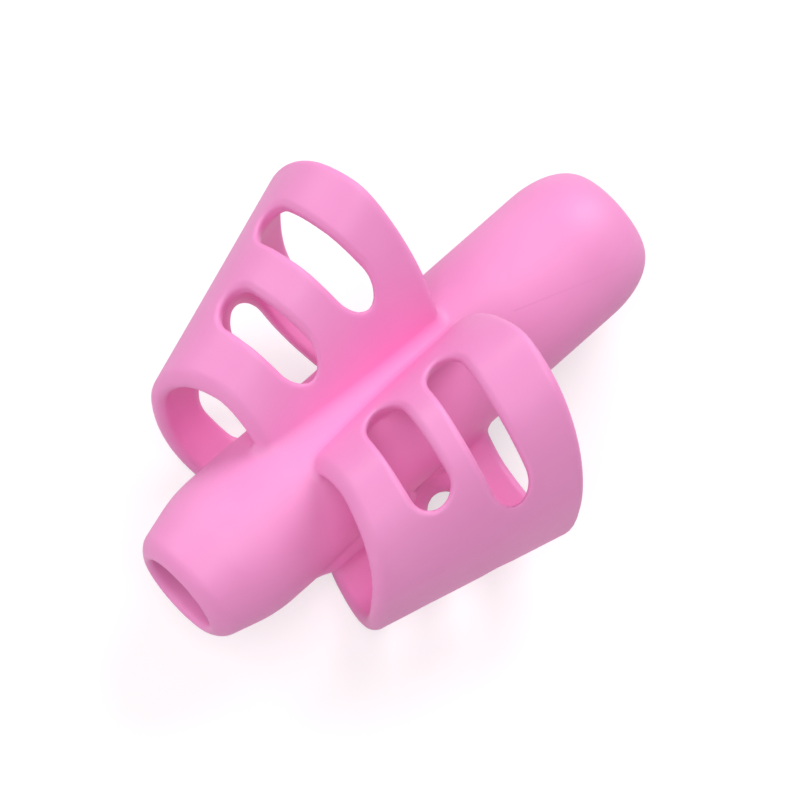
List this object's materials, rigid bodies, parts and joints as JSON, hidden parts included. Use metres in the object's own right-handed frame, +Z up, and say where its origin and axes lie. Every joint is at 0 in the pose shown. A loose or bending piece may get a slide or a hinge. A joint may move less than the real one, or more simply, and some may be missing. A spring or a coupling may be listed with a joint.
{
  "type": "pencil grip",
  "caption": "Soft silicone pencil grip: a round bored barrel that slips over a pencil, with a slotted oval finger sleeve on each flank to place index finger and thumb.",
  "frame": {"origin": "centre of the pencil bore, midway along the barrel", "axes": "+X along the bore from the tapered nose to the rear end, +Y towards the index sleeve, +Z up, the side on which the sleeves stand proud of the barrel"},
  "size_m": [0.0488, 0.0374, 0.0265],
  "materials": {
    "silicone": "soft satin pink silicone, slightly translucent"
  },
  "bodies": {
    "barrel": {"barrel": "silicone"},
    "index_sleeve": {"index_sleeve": "silicone"},
    "thumb_sleeve": {"thumb_sleeve": "silicone"}
  },
  "joints": [
    {"name": "index_sleeve_sway", "type": "hinge", "parent": "barrel", "child": "index_sleeve", "pos_m": [0, 0, 0], "axis": [1, 0, 0], "range_deg": [-12, 8], "stiffness_Nm_per_rad": 0.02},
    {"name": "thumb_sleeve_sway", "type": "hinge", "parent": "barrel", "child": "thumb_sleeve", "pos_m": [0, 0, 0], "axis": [-1, 0, 0], "range_deg": [-12, 8], "stiffness_Nm_per_rad": 0.02}
  ]
}
